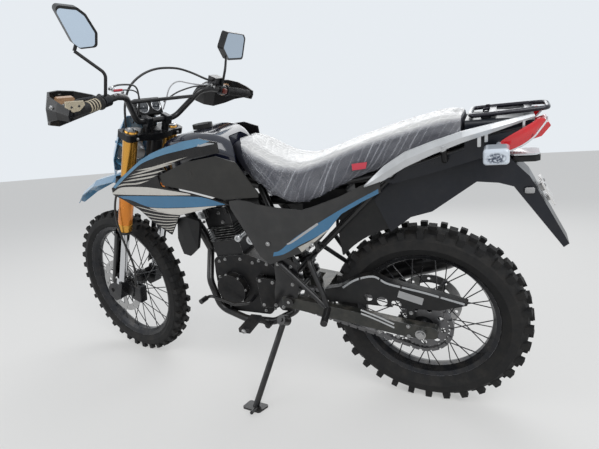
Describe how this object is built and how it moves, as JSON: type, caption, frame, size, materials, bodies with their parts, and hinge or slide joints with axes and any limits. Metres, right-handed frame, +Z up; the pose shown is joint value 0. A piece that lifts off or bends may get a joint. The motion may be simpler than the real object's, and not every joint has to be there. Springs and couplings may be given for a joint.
{
  "type": "dual sport motorcycle",
  "caption": "Dual sport motorcycle on its side stand, with knobby tyres, inverted fork, high fender and open engine.",
  "frame": {"origin": "middle of the box that the parked machine fills, on the ground", "axes": "+X ahead along the rear wheel's track, +Y to the rider's left, +Z up; the machine leans to +Y"},
  "size_m": [2.1065, 0.8563, 1.4087],
  "materials": {
    "tyre": "black rubber",
    "black_alloy": "black anodised",
    "steel": "ground steel",
    "gold_anodised": "gold anodised",
    "chrome": "polished",
    "black_plastic": "moulded, fine grain",
    "black_paint": "satin black",
    "grip_rubber": "ribbed",
    "mirror": "mirror glass",
    "amber_lens": "amber, faded",
    "blue_plastic": "gloss blue",
    "clear_lens": "clear",
    "engine_black": "satin black castings",
    "tank_plastic": "dark gloss",
    "seat_cover": "vinyl under clear film",
    "red_lens": "red",
    "plate": "blank, pale",
    "bright_alloy": "cast, silver"
  },
  "bodies": {
    "chassis": {"frame": "black_paint", "engine_case": "engine_black", "cylinder": "engine_black", "air_box": "black_plastic", "exhaust_pipe": "steel", "muffler": "black_paint", "fuel_tank": "tank_plastic", "fuel_cap": "black_plastic", "tank_shrouds": "blue_plastic", "tank_panels": "black_plastic", "lower_shrouds": "black_plastic", "side_covers": "black_plastic", "seat": "seat_cover", "tail_cowl": "black_plastic", "tail_light": "red_lens", "rear_fender": "black_plastic", "number_plate": "plate", "rear_indicators": "clear_lens", "grab_rails": "bright_alloy", "rear_rack": "black_alloy", "swingarm": "black_alloy", "rear_axle": "steel", "chain": "steel", "chain_guard": "black_plastic", "shock_absorber": "black_paint", "foot_pegs": "grip_rubber", "foot_controls": "black_paint", "passenger_pegs": "bright_alloy", "rear_caliper": "black_alloy"},
    "steering": {"triple_clamps": "black_alloy", "fork_tubes": "gold_anodised", "fork_legs": "chrome", "axle_lugs": "black_alloy", "fork_guards": "black_plastic", "handlebar": "black_paint", "grips": "grip_rubber", "hand_controls": "black_alloy", "mirror_shells": "black_plastic", "mirror_glasses": "mirror", "hand_guards": "black_plastic", "front_indicators": "amber_lens", "headlight_fairing": "blue_plastic", "headlight_lens": "clear_lens", "instruments": "black_plastic", "front_fender": "blue_plastic", "front_caliper": "black_alloy", "front_hoses": "grip_rubber"},
    "front_wheel": {"front_tyre": "tyre", "front_rim": "black_alloy", "front_hub": "black_alloy", "front_disc": "steel"},
    "rear_wheel": {"rear_tyre": "tyre", "rear_rim": "black_alloy", "rear_hub": "black_alloy", "rear_disc": "steel", "rear_sprocket": "steel"},
    "side_stand": {"side_stand": "black_paint"}
  },
  "joints": [
    {"name": "steering_turn", "type": "hinge", "parent": "chassis", "child": "steering", "pos_m": [0.38606, -0.05699, 0.90126], "axis": [-0.4142, 0.1954, 0.8889], "range_deg": [-30, 50]},
    {"name": "front_wheel_turn", "type": "hinge", "parent": "steering", "child": "front_wheel", "pos_m": [0.70937, -0.18976, 0.34428], "axis": [0.158, 0.9773, -0.1412], "continuous": true},
    {"name": "rear_wheel_turn", "type": "hinge", "parent": "chassis", "child": "rear_wheel", "pos_m": [-0.64983, -0.18292, 0.32849], "axis": [0, 0.9767, -0.2147], "continuous": true},
    {"name": "side_stand_fold", "type": "hinge", "parent": "chassis", "child": "side_stand", "pos_m": [-0.16283, -0.04646, 0.29721], "axis": [0.217, 0.8917, 0.3972], "range_deg": [0, 109.27]}
  ]
}
